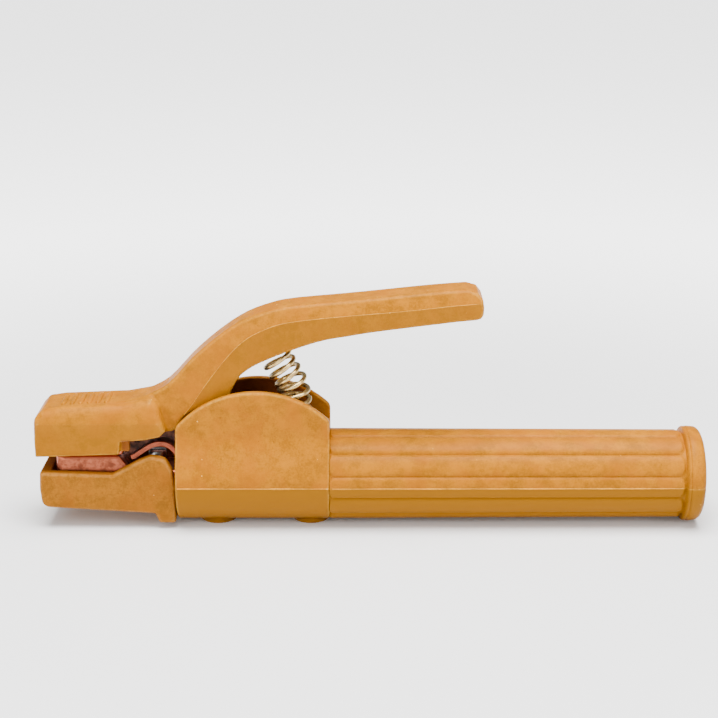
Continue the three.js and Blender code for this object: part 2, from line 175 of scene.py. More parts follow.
def line_distance(x, z, line):
    """Distance to an open line of points."""
    best = np.inf
    for (x0, z0), (x1, z1) in zip(line[:-1], line[1:]):
        dx, dz = x1 - x0, z1 - z0
        along = np.clip(((x - x0) * dx + (z - z0) * dz) / (dx * dx + dz * dz), 0, 1)
        best = np.minimum(best, np.hypot(x - x0 - along * dx, z - z0 - along * dz))
    return best


def outline_distance(x, z, outline):
    """Signed distance to a closed outline."""
    loop = [*outline, outline[0]]
    inside = False
    for (x0, z0), (x1, z1) in zip(loop[:-1], loop[1:]):
        if z0 != z1:
            crosses = (z0 > z) != (z1 > z)
            inside = inside ^ (crosses & (x < x0 + (z - z0) * (x1 - x0) / (z1 - z0)))
    return np.where(inside, -1, 1) * line_distance(x, z, loop)


def rounded(corners, steps=6):
    """An outline of (x, z, radius) corners, each with its arc."""
    points = []
    for before, here, after in zip([corners[-1], *corners[:-1]], corners, [*corners[1:], corners[0]]):
        corner = Vector(here[:2])
        to_before = Vector(before[:2]) - corner
        to_after = Vector(after[:2]) - corner
        radius = here[2]
        half = to_before.angle(to_after) / 2
        if radius <= 0 or half > 1.5:
            points.append(tuple(corner))
            continue
        reach = min(radius / math.tan(half), 0.45 * to_before.length, 0.45 * to_after.length)
        start = corner + to_before.normalized() * reach
        end = corner + to_after.normalized() * reach
        for step in range(steps + 1):
            t = step / steps
            points.append(tuple((1 - t) ** 2 * start + 2 * t * (1 - t) * corner + t * t * end))
    return points


def spline(points, steps):
    """Points of a smooth line through the given points."""
    points = np.asarray(points, float)
    padded = np.vstack([2 * points[0] - points[1], points, 2 * points[-1] - points[-2]])
    line = []
    for t in np.linspace(0, len(points) - 1, steps + 1):
        i = min(int(t), len(points) - 2)
        p0, p1, p2, p3 = padded[i:i + 4]
        u = t - i
        line.append(tuple(0.5 * (2 * p1 + (p2 - p0) * u + (2 * p0 - 5 * p1 + 4 * p2 - p3) * u ** 2
                                 + (3 * p1 - p0 - 3 * p2 + p3) * u ** 3)))
    return line


def offset(line, distance):
    """A line moved sideways to its right."""
    line = np.asarray(line, float)
    along = np.gradient(line, axis=0)
    along /= np.linalg.norm(along, axis=1)[:, None]
    return line + distance * np.stack([along[:, 1], -along[:, 0]], 1)


def pivot_arc(radius, start, end, steps=12):
    """Points of an arc about the lever's pivot, from one angle to another in degrees."""
    angles = np.radians(np.linspace(start, end, steps + 1))
    return [(PIVOT[0] + radius * math.cos(a), PIVOT[2] + radius * math.sin(a)) for a in angles]


# Meshes

def slope(field, points, reach):
    """How a field rises along each axis at some points."""
    columns = []
    for axis in range(3):
        step = np.zeros(3)
        step[axis] = reach
        columns.append((field(*(points + step).T) - field(*(points - step).T)) / (2 * reach))
    return np.stack(columns, 1)


def bend(field, points, reach):
    """How much a field's level curves at some points, positive on outer edges, per millimetre."""
    total = -6 * field(*points.T)
    for axis in range(3):
        step = np.zeros(3)
        step[axis] = reach
        total = total + field(*(points + step).T) + field(*(points - step).T)
    return total / reach ** 2


def mark(mesh, name, values):
    """Keeps a number for each vertex, for the materials to read."""
    layer = mesh.attributes.new(name, "FLOAT", "POINT")
    layer.data.foreach_set("value", np.clip(values, 0, 1).astype(np.float32))


def places_mm(mesh):
    """Where a mesh's vertices are, in millimetres."""
    flat = np.empty(len(mesh.vertices) * 3, np.float32)
    mesh.vertices.foreach_get("co", flat)
    return flat.reshape(-1, 3).T / MM


def net_mesh(name, field, low, high, cell):
    """A closed mesh of a field's surface, with one vertex in each cell that the surface crosses."""
    low = np.asarray(low, float)
    counts = np.ceil((np.asarray(high) - low) / cell).astype(int) + 1
    axes = [low[k] + cell * np.arange(counts[k]) for k in range(3)]
    inside = np.broadcast_to(field(*np.meshgrid(*axes, indexing="ij", sparse=True)) < 0, counts)
    full = sum(
        inside[i:counts[0] - 1 + i, j:counts[1] - 1 + j, k:counts[2] - 1 + k].astype(int)
        for i in (0, 1) for j in (0, 1) for k in (0, 1)
    )
    mixed = (full > 0) & (full < 8)
    index = np.full(mixed.shape, -1)
    index[mixed] = np.arange(mixed.sum())
    home = low + cell * (np.argwhere(mixed) + 0.5)
    points = home
    for _ in range(5):
        rise = slope(field, points, cell * 0.05)
        fall = field(*points.T) / np.maximum((rise ** 2).sum(1), 0.3)
        points = home + np.clip(points - rise * fall[:, None] - home, -0.72 * cell, 0.72 * cell)
    quads = []
    for axis in range(3):
        turned = np.moveaxis(inside, [axis, (axis + 1) % 3, (axis + 2) % 3], [0, 1, 2])
        cells = np.moveaxis(index, [axis, (axis + 1) % 3, (axis + 2) % 3], [0, 1, 2])
        first = turned[:-1, 1:-1, 1:-1]
        changed = first != turned[1:, 1:-1, 1:-1]
        i, j, k = np.argwhere(changed).T
        ring = np.stack([cells[i, j, k], cells[i, j + 1, k], cells[i, j + 1, k + 1], cells[i, j, k + 1]], 1)
        ring[~first[changed]] = ring[~first[changed]][:, ::-1]
        quads.append(ring)
    mesh = bpy.data.meshes.new(name)
    mesh.from_pydata(points * MM, [], np.vstack(quads).tolist())
    curve = bend(field, points, 0.5)
    mark(mesh, "rim", curve)
    # The concave measure drives painted shade in creases.
    mark(mesh, "crease_shade", -curve)
    mesh.shade_smooth()
    mesh.update()
    return mesh


def place(mesh, body, material, slot, nodes=()):
    """Puts a finished mesh in the scene, riding on a body and standing for CAD nodes."""
    piece = bpy.data.objects.new(mesh.name, mesh)
    bpy.context.scene.collection.objects.link(piece)
    mesh.materials.clear()
    mesh.materials.append(material)
    if body:
        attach(piece, body)
    if nodes:
        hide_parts(*nodes)
    return piece


# Node trees

def math_operator(operation, swap=False):
    """A Python operator that adds a Math node."""
    def apply(self, other):
        pair = (other, self) if swap else (self, other)
        return self.tree.node("ShaderNodeMath", {"operation": operation}, dict(enumerate(pair)))
    return apply


class Term:
    """A node's output socket, which Python's operators turn into Math nodes."""

    def __init__(self, tree, socket):
        self.tree = tree
        self.socket = socket

    __add__ = math_operator("ADD")
    __radd__ = math_operator("ADD", True)
    __sub__ = math_operator("SUBTRACT")
    __rsub__ = math_operator("SUBTRACT", True)
    __mul__ = math_operator("MULTIPLY")
    __rmul__ = math_operator("MULTIPLY", True)
    __truediv__ = math_operator("DIVIDE")
    __rtruediv__ = math_operator("DIVIDE", True)
    __pow__ = math_operator("POWER")
    __mod__ = math_operator("MODULO")


class NodeTree:
    """A node tree that is built by calls."""

    def __init__(self, tree):
        self.tree = tree

    def node(self, kind, settings=None, sockets=None, output=0):
        """Adds a node, sets it up, fills its sockets with values or links, and gives one output."""
        made = self.tree.nodes.new(kind)
        for key, value in (settings or {}).items():
            setattr(made, key, value)
        for key, value in (sockets or {}).items():
            if isinstance(value, Term):
                self.tree.links.new(value.socket, made.inputs[key])
            else:
                made.inputs[key].default_value = value
        return Term(self, made.outputs[output])

    def of(self, term, output):
        """Another output of the node that a term comes from."""
        return Term(self, term.socket.node.outputs[output])

    def math(self, operation, *values):
        return self.node("ShaderNodeMath", {"operation": operation}, dict(enumerate(values)))

    def vector(self, operation, *values, output=0):
        settings = {"operation": operation}
        return self.node("ShaderNodeVectorMath", settings, dict(enumerate(values)), output)

    def scaled(self, vector, scale):
        settings = {"operation": "SCALE"}
        return self.node("ShaderNodeVectorMath", settings, {0: vector, "Scale": scale})

    def xyz(self, x, y, z):
        return self.node("ShaderNodeCombineXYZ", {}, {0: x, 1: y, 2: z})

    def part(self, vector, axis):
        return self.node("ShaderNodeSeparateXYZ", {}, {0: vector}, axis)

    def step(self, value, low, high):
        """Rises smoothly from 0 to 1 as the value goes from low to high."""
        return self.node("ShaderNodeMapRange", {"interpolation_type": "SMOOTHSTEP"},
                         {"Value": value, "From Min": low, "From Max": high})


class Shaping(NodeTree):
    """A Geometry Nodes tree with named number inputs."""

    def __init__(self, name, **inputs):
        super().__init__(bpy.data.node_groups.new(name, "GeometryNodeTree"))
        interface = self.tree.interface
        interface.new_socket("Geometry", in_out="INPUT", socket_type="NodeSocketGeometry")
        interface.new_socket("Geometry", in_out="OUTPUT", socket_type="NodeSocketGeometry")
        self.values = {}
        for key, value in inputs.items():
            kind = "NodeSocketInt" if isinstance(value, int) else "NodeSocketFloat"
            socket = interface.new_socket(key, in_out="INPUT", socket_type=kind)
            socket.default_value = value
            self.values[socket.identifier] = value
        self.start = self.tree.nodes.new("NodeGroupInput")
        self.end = self.tree.nodes.new("NodeGroupOutput")

    def input(self, name):
        return Term(self, self.start.outputs[name])

    def index(self):
        return self.node("GeometryNodeInputIndex")

    def path(self):
        """The mesh that the tree runs on, as a curve."""
        return self.node("GeometryNodeMeshToCurve", {}, {"Mesh": self.input("Geometry")})

    def circle(self, points, radius):
        sockets = {"Resolution": points, "Radius": radius}
        return self.node("GeometryNodeCurvePrimitiveCircle", {"mode": "RADIUS"}, sockets)

    def swept(self, curve, profile, scale=1.0):
        """A closed solid of a profile drawn along a curve."""
        sockets = {"Curve": curve, "Profile Curve": profile, "Scale": scale, "Fill Caps": True}
        return self.node("GeometryNodeCurveToMesh", {}, sockets)

    def moved(self, geometry, position):
        sockets = {"Geometry": geometry, "Position": position}
        return self.node("GeometryNodeSetPosition", {}, sockets)

    def run(self, name, geometry, material, points, edges=()):
        """Ends the tree, runs it on a mesh of points in millimetres and gives a plain mesh."""
        real = self.node("GeometryNodeRealizeInstances", {}, {0: geometry})
        done = self.node("GeometryNodeSetMaterial", {}, {"Geometry": real, "Material": material})
        self.tree.links.new(done.socket, self.end.inputs[0])
        seed = bpy.data.meshes.new(name + "_seed")
        seed.from_pydata(points, edges, [])
        worker = bpy.data.objects.new(name + "_worker", seed)
        bpy.context.scene.collection.objects.link(worker)
        modifier = worker.modifiers.new("shape", "NODES")
        modifier.node_group = self.tree
        for identifier, value in self.values.items():
            modifier[identifier] = value
        graph = bpy.context.evaluated_depsgraph_get()
        mesh = bpy.data.meshes.new_from_object(worker.evaluated_get(graph))
        worker.modifiers.clear()
        bpy.data.objects.remove(worker)
        mesh.name = name
        mesh.transform([[MM, 0, 0, 0], [0, MM, 0, 0], [0, 0, MM, 0], [0, 0, 0, 1]])
        return mesh


def chain(count):
    """Edges that join a run of points in order."""
    return [(i, i + 1) for i in range(count - 1)]


class Finish(NodeTree):
    """A material, whose constants sit on the shader's own sockets."""

    def __init__(self, name, **constants):
        self.material = bpy.data.materials.new(name)
        self.material.use_nodes = True
        super().__init__(self.material.node_tree)
        self.shader = self.tree.nodes["Principled BSDF"]
        for key, value in constants.items():
            self.shader.inputs[key.replace("_", " ")].default_value = value
        self.place = self.node("ShaderNodeTexCoord", {}, {}, "Object")

    def feed(self, **terms):
        for key, term in terms.items():
            self.tree.links.new(term.socket, self.shader.inputs[key.replace("_", " ")])

    def noise(self, size, detail=3.0, roughness=0.55, stretch=(1, 1, 1)):
        """Noise from 0 to 1 with features of about a size in millimetres."""
        place = self.vector("MULTIPLY", self.place, tuple(1 / s for s in stretch))
        sockets = {"Vector": place, "Scale": 1 / (size * MM), "Detail": detail, "Roughness": roughness}
        return self.node("ShaderNodeTexNoise", {}, sockets, "Fac")

    def specks(self, size, share, low=0.05, high=0.12):
        """Small uneven specks, in about a share of the cells of a size in millimetres."""
        sockets = {"Vector": self.place, "Scale": 5 / (size * MM)}
        ragged = self.node("ShaderNodeTexNoise", {}, sockets, "Color")
        aside = self.scaled(self.vector("SUBTRACT", ragged, (0.5, 0.5, 0.5)), 0.12 * size * MM)
        sockets = {"Vector": self.vector("ADD", self.place, aside), "Scale": 1 / (size * MM)}
        cell = self.node("ShaderNodeTexVoronoi", {"feature": "F1"}, sockets)
        colour = self.of(cell, "Color")
        chosen = self.step(self.part(colour, 0), 1 - share, 1 - share + 0.01)
        radius = low + (high - low) * self.part(colour, 1)
        return chosen * (1 - self.step(cell / radius, 0.6, 1))

    def attribute(self, name):
        return self.node("ShaderNodeAttribute", {"attribute_name": name}, {}, "Fac")

    def mix(self, factor, a, b):
        return self.node("ShaderNodeMix", {"data_type": "RGBA"}, {0: factor, 6: a, 7: b}, 2)

    def bump(self, height, distance, strength=1.0):
        sockets = {"Height": height, "Distance": distance * MM, "Strength": strength}
        return self.node("ShaderNodeBump", {}, sockets)


def linear(red, green, blue):
    """A shader colour from a screen colour of 0 to 255."""
    return tuple((c / 255 / 12.92 if c <= 10 else ((c / 255 + 0.055) / 1.055) ** 2.4)
                 for c in (red, green, blue)) + (1.0,)


def shade(colour, factor):
    """A colour made darker or lighter."""
    return tuple(min(1.0, c * factor) for c in colour[:3]) + (1.0,)


def tinted(colour, factors):
    """A colour with each of its channels made darker or lighter."""
    return tuple(c * k for c, k in zip(colour, factors))


# Finishes

def moulding(name, colour, pale, roughness, grain):
    """Moulded thermoset: mottle and fine grain, worn pale edges, chips, and painted shade on the lower part, in
    creases and in the insides.
    """
    finish = Finish(name, IOR=1.5, Specular_IOR_Level=0.05)
    patches = finish.noise(7)
    cloud = finish.noise(2.4)
    fine = finish.noise(0.8, 3.0, 0.65)
    tone = finish.step(patches * 0.4 + cloud * 0.25 + fine * 0.35, 0.38, 0.62)
    base = finish.mix(tone, shade(colour, 0.74), shade(colour, 1.18))
    warm = finish.step(finish.noise(11), 0.42, 0.66) * 0.55
    base = finish.mix(warm, base, tinted(colour, (1.04, 0.86, 0.6, 1)))
    # Painted shade: the lower part, below the mould line, turns darker and duller.
    base = finish.mix(finish.attribute("under"), base, tinted(colour, (0.72, 0.78, 1.6, 1)))
    rub = finish.step(finish.noise(1.3), 0.3, 0.7)
    rim = finish.step(finish.attribute("rim"), 0.3, 1.0)
    base = finish.mix(rim * (0.08 + 0.32 * rub), base, pale)
    # Painted shade: concave creases are darkened.
    crease_shade = finish.step(finish.attribute("crease_shade"), 0.15, 0.9)
    base = finish.mix(crease_shade * 0.3, base, shade(colour, 0.4))
    # Painted shade: the slot between the cheeks, the lever's hollow underside and its web behind the strap turn
    # dark maroon brown.
    inside_shade = finish.attribute("shaded_inside") * (0.72 + 0.28 * cloud)
    base = finish.mix(inside_shade, base, (0.11, 0.022, 0.008, 1))
    chips = finish.specks(5.5, 0.12, 0.03, 0.09) + finish.specks(2.6, 0.05, 0.05, 0.13)
    base = finish.mix(finish.math("MINIMUM", chips * 0.8, 1.0), base, shade(pale, 1.5))
    pits = finish.specks(3.1, 0.16, 0.06, 0.14)
    base = finish.mix(pits * 0.5, base, shade(colour, 0.35))
    skin = finish.noise(0.4, 2.0) * grain + finish.noise(3.5, 2.0) * 0.8 - (chips + pits) * 0.5
    finish.feed(
        Base_Color=base,
        Roughness=roughness + 0.16 * (finish.noise(4.5) - 0.5) + 0.12 * (fine - 0.5),
        Normal=finish.bump(skin, 0.14, 0.6),
    )
    return finish.material


def red_copper(name, bright, tarnish):
    """Cast and rubbed copper, bright on its edges and browned elsewhere."""
    finish = Finish(name, Metallic=1.0)
    cloud = finish.noise(3.0, 5.0, 0.6)
    scratch = finish.noise(0.45, 2.0, stretch=(5, 1, 2))
    rim = finish.step(finish.attribute("rim"), 0.12, 0.7)
    dull = finish.step(cloud * 0.8 + scratch * 0.2, 0.4, 0.62) * tarnish * (1 - rim * 0.7)
    base = finish.mix(dull, bright, shade(bright, 0.36))
    base = finish.mix(rim * 0.5, base, shade(bright, 1.5))
    spots = finish.specks(1.9, 0.12, 0.08, 0.2)
    base = finish.mix(spots * 0.6, base, (0.12, 0.03, 0.015, 1))
    finish.feed(
        Base_Color=base,
        Roughness=0.32 + 0.28 * dull + 0.1 * scratch,
        Normal=finish.bump(scratch * 0.3 + finish.noise(1.1) - spots * 0.4, 0.09, 0.55),
    )
    return finish.material


def shade_black_steel(name):
    """Near-black brown steel with darker patches: painted shade for the lever arm, which shows only inside the
    lever.
    """
    finish = Finish(name, Metallic=0.2, Specular_IOR_Level=0.2)
    dark_patches = finish.step(finish.noise(2.5, 4.0), 0.35, 0.7)
    finish.feed(
        Base_Color=finish.mix(dark_patches, (0.10, 0.035, 0.02, 1), (0.02, 0.010, 0.008, 1)),
        Roughness=0.6 + 0.25 * dark_patches,
        Normal=finish.bump(finish.noise(0.6), 0.08, 0.6),
    )
    return finish.material


def plated(name, bright, dull, grain):
    """Plated steel or turned brass with fine lines and a faint bloom."""
    finish = Finish(name, Metallic=1.0)
    lines = finish.noise(0.35, 2.0, stretch=(1, 1, grain))
    bloom = finish.step(finish.noise(2.5, 4.0), 0.4, 0.7)
    base = finish.mix(bloom * 0.6 + lines * 0.3, bright, dull)
    finish.feed(
        Base_Color=base,
        Roughness=0.22 + 0.2 * bloom + 0.1 * lines,
        Normal=finish.bump(lines, 0.03, 0.5),
    )
    return finish.material


FINISHES = {}


def make_finishes(colours):
    """Every material of the holder, by slot."""
    FINISHES.update(
        ochre_moulding=moulding("ochre_moulding", tuple(colours.ochre), (0.52, 0.27, 0.04, 1), 0.40, 0.6),
        mould_line=moulding("mould_line", (0.46, 0.20, 0.015, 1), (0.80, 0.50, 0.18, 1), 0.45, 1.0),
        tan_moulding=moulding("tan_moulding", tuple(colours.tan), (0.42, 0.20, 0.05, 1), 0.55, 1.0),
        copper=red_copper("copper", (0.38, 0.105, 0.052, 1), 0.7),
        copper_strap=red_copper("copper_strap", (0.55, 0.155, 0.085, 1), 0.4),
        steel=plated("steel", linear(178, 182, 180), linear(96, 98, 98), 6),
        # Painted shade: the lever arm's steel is near black.
        dark_steel=shade_black_steel("dark_steel"),
        brass=plated("brass", linear(214, 170, 90), linear(136, 100, 48), 6),
        spring_wire=plated("spring_wire", linear(224, 194, 130), linear(112, 80, 42), 1),
    )


# Pieces

def body_field(x, y, z):
    """Barrel, cheeks, bosses, slot and bores of the shell's front part."""
    along = slab(x, BODY_FRONT, BODY_REAR)
    across = np.hypot(y, z - AXIS)
    arc = np.hypot(x - CHEEK_X, z - CHEEK_Z) - CHEEK_R
    side = both(np.abs(y) - CHEEK_Y, AXIS - 1 - z, 0.5)
    section = either(across - BODY_R, both(arc, side, 1.0), BODY_FILLET)
    body = both(section, along, 1.0)
    for boss in BOSSES:
        disc = both(np.hypot(x - boss, y) - BOSS_R, slab(z, 0, AXIS / 2), 0.8)
        body = either(body, disc, 0.8)
    slot = np.maximum(np.maximum(np.abs(y) - SLOT_Y, SLOT_FLOOR - z), x - BODY_REAR + SLOT_WALL)
    gap = np.maximum(np.abs(y) - SLOT_Y, GAP_FLOOR - z)
    body = without(body, np.minimum(slot, gap), 0.7)
    body = without(body, np.maximum(across - BORE_R, BODY_REAR - BORE_INTO_BODY - x), 0.3)
    for boss in BOSSES:
        from_boss = np.hypot(x - boss, y)
        well = np.maximum(from_boss - WELL_R, z - WELL_TOP)
        hole = np.maximum(from_boss - HOLE_R, z - HOLE_TOP)
        body = without(body, np.minimum(well, hole), 0.4)
    return body


LEVER_TOP = spline([
    (-106, 53.6), (-98, 54.8), (-91.5, 57.8), (-84, 62.4), (-73.6, 73.6), (-62.7, 83), (-52.6, 89.7),
    (-42.4, 93.6), (-32.3, 95.8), (-6.6, 98.2), (24, 101.4), (39.5, COVER_HIGH.z - 0.1),
], steps=34)
LEVER_UNDERSIDE = spline([
    (35, 89), (3.7, 85), (-8.5, 83), (-22.7, 80.2), (-43.5, 72.4), (-53.5, 66.4), (-58, 59.3),
], steps=20)
LEVER_TIP = [(43.8, 101.2), (45.9, 98.4), (COVER_HIGH.x, 95), (46.2, 92), (45.2, 90.4), (43.2, 89.8)]
LEVER_FLASH = spline([
    (-82.1, 43.8), (-75.5, 52.2), (-69, 61.6), (-60.4, 73), (-51.9, 81.6), (-42.6, 86.7),
    (-33.3, 89.3), (-14.8, 91.5), (12.7, 93.9), (35.6, 96.4), (46.2, 97.2),
], steps=30)
UPPER_BLOCK = rounded([
    (FRONT, COVER_LOW.z, 0.6), (-109, 33.2, 0), (-105, 33.4, 0.6), (-104.4, 38.9, 0.8), (-94, 39.8, 0),
    (-88, 41, 1), (-85.6, 43.2, 0.8), (-88.7, 54, 6), (-91.5, 56.6, 2), (-103, 54.3, 0), (-130, 53.1, 5),
    (-136.8, 52, 3), (FRONT, 48.4, 3),
])
LOWER_BLOCK = rounded([
    (-138.6, 25.3, 0.5), (CAP_LOW.x, 18.3, 0), (-138.2, 9.9, 4), (-90.8, 7, 1.5), (-89.1, CAP_LOW.z, 1.2),
    (CAP_HIGH.x, CAP_LOW.z, 1), (CAP_HIGH.x, 18.3, 0), (-83.2, 26, 3), (-86, 31, 4), (-91.8, 32.4, 5),
    (-96.5, 30.6, 5), (-108.2, 24.2, 2),
])


def lever_half_width(x):
    """Half the lever's width at its mould line: narrow between the cheeks, wider above them."""
    return ARM_Y + (THUMB_Y - ARM_Y) * np.clip((np.asarray(x) + 54) / 9, 0, 1)


def lever_field(x, y, z):
    """Jaw block, rising arm and thumb lever, hollow underneath."""
    foot = [*pivot_arc(HUB_R, 40, 160), (-82.4, 42.1), (-84, 41.5), (-91, 41), (-100, 46)]
    arm = outline_distance(x, z, [*LEVER_TOP, *LEVER_TIP, *LEVER_UNDERSIDE, *foot])
    flash = line_distance(x, z, LEVER_FLASH)
    above = z > np.interp(x, *np.transpose(LEVER_FLASH))
    share = flash / (flash + line_distance(x, z, LEVER_TOP) + 0.5)
    width = lever_half_width(x) - np.where(above, 1.9 * share, 0.10 * flash)
    body = both(arm, np.abs(y) - width, 1.3)
    lean = np.where(z > FLASH_Z, 0.28, 0.03) * np.abs(z - FLASH_Z)
    block = outline_distance(x, z, UPPER_BLOCK)
    block = both(block, np.abs(y) - (BLOCK_Y - lean), np.interp(z, (40, 50), (0.7, 3.2)))
    web = both(both(slab(x, -108, -100.8), slab(np.abs(y), -12, 12), 0.5), slab(z, 34.2, 44), 0.5)
    body = either(either(block, web, 0.3), body, 1.6)
    roof = [p for p in offset(LEVER_TOP, LEVER_WALL) if -85 < p[0] < 30]
    ends = [(30, 70), (-50, 20), (CHANNEL_FRONT, 20), (CHANNEL_FRONT, 45.6), (-96, 45.6)]
    channel = outline_distance(x, z, [*roof, *ends])
    body = without(body, np.maximum(channel, np.abs(y) - np.minimum(CHANNEL_Y, width - 1.5)), 0.4)
    pocket = np.maximum(slab(x, UPPER_LOW.x - CONTACT_GAP, -96), np.abs(y) - UPPER_HIGH.y - CONTACT_GAP)
    return without(body, np.maximum(pocket, z - UPPER_HIGH.z - CONTACT_GAP), 0.4)


def cap_field(x, y, z):
    """Tray under the lower jaw, with its raised rear cheeks and foot."""
    width = BLOCK_Y - 0.02 * np.abs(z - 20)
    body = both(outline_distance(x, z, LOWER_BLOCK), np.abs(y) - width, 1.3)
    sides = np.maximum(np.abs(y) - JAW_HIGH.y - TRAY_SIDE_GAP, TRAY_FLOOR - z)
    return without(body, np.maximum(JAW_LOW.x - TRAY_FRONT_GAP - x, sides), 0.7)


def grooves(x, y, z):
    """V-shaped cross grooves in both contacts, which grip the electrode."""
    cut = np.inf
    for centre in GROOVES_X:
        cut = np.minimum(cut, (np.abs(x - centre) + np.abs(z - GROOVE_Z) - GROOVE_DEPTH) / ROOT_2)
    return np.maximum(cut, np.abs(y) - GROOVE_Y)


def jaw_field(x, y, z):
    """Lower jaw bar, shank, pivot ears and the spigot for the cable tube."""
    bar = outline_distance(x, z, [
        (JAW_LOW.x, 15), (JAW_LOW.x, CONTACT_Z), (-106.2, CONTACT_Z), (-101, 24.5), (-80.5, 24.5),
        (-79, SHANK_TOP), (SHANK_REAR, SHANK_TOP), (SHANK_REAR, JAW_LOW.z), (-80, JAW_LOW.z), (-98, 15),
    ])
    width = JAW_HIGH.y - 0.15 * np.clip(z - 25, 0, 6)
    plan = both(np.abs(y) - width, JAW_LOW.x - x, 4.5)
    jaw = both(bar, np.where(x > -82, np.abs(y) - SHANK_Y, plan), 1.3)
    ear = outline_distance(x, z, [
        (PIVOT[0] - EAR_R, 20), (PIVOT[0] + EAR_R, 20), *pivot_arc(EAR_R, 0, 180),
    ])
    jaw = either(jaw, both(ear, slab(np.abs(y), 6.2, SHANK_Y), 0.4), 0.3)
    across = np.hypot(y, z - AXIS)
    jaw = either(jaw, both(across - SPIGOT_R, slab(x, *SPIGOT), 0.5), 0.5)
    pin_hole = np.hypot(x - PIVOT[0], z - PIVOT[2]) - PIN_HOLE_R
    jaw = without(jaw, pin_hole, 0.2)
    return without(jaw, grooves(x, y, z), 0.2)


def upper_field(x, y, z):
    """Upper contact under the lever's block."""
    plan = both(slab(x, UPPER_LOW.x, UPPER_HIGH.x), np.abs(y) - UPPER_HIGH.y, 1.5)
    jaw = both(plan, slab(z, UPPER_LOW.z, UPPER_HIGH.z), 0.5)
    return without(jaw, grooves(x, y, z), 0.2)


def turned_tree(name, profile_count, sides):
    """Rows of points round the X axis, from a closed profile of (x, radius) points."""
    tree = Shaping(name, Sides=sides)
    grid = tree.node("GeometryNodeMeshGrid", {}, {
        "Vertices X": profile_count + 1, "Vertices Y": tree.input("Sides") + 1,
    })
    row = tree.math("FLOOR", tree.index() / (tree.input("Sides") + 1))
    column = tree.index() - row * (tree.input("Sides") + 1)
    angle = column / tree.input("Sides") * math.tau
    profile = tree.node("GeometryNodeSampleIndex", {"data_type": "FLOAT_VECTOR", "domain": "POINT"}, {
        "Geometry": tree.input("Geometry"), "Value": tree.node("GeometryNodeInputPosition"),
        "Index": row % profile_count,
    })
    return tree, grid, angle, tree.part(profile, 0), tree.part(profile, 1)


def close_turned(tree, grid, angle, x, radius, height):
    """Sets the grid's points round the axis and welds its seams."""
    round_y = radius * tree.math("COSINE", angle)
    round_z = radius * tree.math("SINE", angle) + height
    turned = tree.moved(grid, tree.xyz(x, round_y, round_z))
    return tree.node("GeometryNodeMergeByDistance", {}, {"Geometry": turned, "Distance": 0.002})


def handle_profile():
    """Closed (x, radius) profile of the handle, from its front along the outside and back."""
    start = BODY_REAR + 0.02
    ease = np.linspace(0, 1, 13) ** 1.3
    outside = np.concatenate([start + 7 * ease, np.linspace(start + 12, FLANGE_FRONT - 12, 22),
                              FLANGE_FRONT - 0.3 - 7 * ease[::-1]])
    crest = np.interp(outside, [start, FLANGE_FRONT], [CREST_FRONT, CREST_REAR])
    points = [*zip(outside, crest), (FLANGE_FRONT, CREST_REAR - 0.5)]
    lip = ((0.15, 1.0), (0.5, 0.35), (1.0, 0.12), (1.35, 0.12), (1.6, 0.4), (1.85, 0.14), (2.4, 0.03))
    points += [(FLANGE_FRONT + back, AXIS - down) for back, down in lip]
    points.append((REAR - 5, AXIS))
    for angle in np.radians(np.linspace(20, 90, 8)):
        points.append((REAR - FLANGE_ROUND + FLANGE_ROUND * math.sin(angle),
                       AXIS - FLANGE_ROUND + FLANGE_ROUND * math.cos(angle)))
    points += [(REAR, BORE_R + 0.9), (REAR - 0.2, BORE_R + 0.3), (REAR - 0.8, BORE_R), (REAR - 30, BORE_R),
               (REAR - 90, BORE_R), (start, BORE_R)]
    return points


def fluted_handle(sizes, material):
    """Handle with lobes whose ends are rounded as well, and the flange behind them."""
    profile = handle_profile()
    sides_per_flute = 14
    sides = sizes.flutes * sides_per_flute
    tree, grid, angle, x, radius = turned_tree("Fluted handle", len(profile), sides)
    part = angle / math.tau * sizes.flutes + 0.5
    off = tree.math("ABSOLUTE", tree.math("FRACT", part) - 0.5) * 2
    crown = (1 - off ** 2.6) ** 0.5
    lap = LAP * (1 - (1 - off ** 2) ** 0.5)
    front = tree.step(x - lap, BODY_REAR - 0.9, BODY_REAR - 0.2)
    back = 1 - tree.step(x + lap, FLANGE_FRONT - 1.5, FLANGE_FRONT - 0.5)
    outer = tree.step(radius, BORE_R + 1.5, BORE_R + 2) * (1 - tree.step(x, FLANGE_FRONT - 0.2, FLANGE_FRONT))
    depth = sizes.flute_depth / MM
    shaped = radius - depth * (1 - crown * front * back) * outer
    seam = 1 - tree.step(tree.math("ABSOLUTE", tree.math("SINE", angle)), 0.015, 0.08)
    shaped = shaped - 0.2 * seam * tree.step(x, FLANGE_FRONT - 0.2, FLANGE_FRONT)
    closed = close_turned(tree, grid, angle, x, shaped, AXIS)
    smooth = tree.node("GeometryNodeSetShadeSmooth", {}, {"Geometry": closed})
    mesh = tree.run("handle_grip", smooth, material, [(px, r, 0) for px, r in profile])
    mesh.set_sharp_from_angle(angle=math.radians(50))
    height = places_mm(mesh)[2] - AXIS
    # Painted shade: the grip's lower half is marked to turn darker and duller.
    mark(mesh, "under", 0.5 - 4 * height)
    mark(mesh, "rim", 1.6 - 4 * np.abs(height))
    return mesh


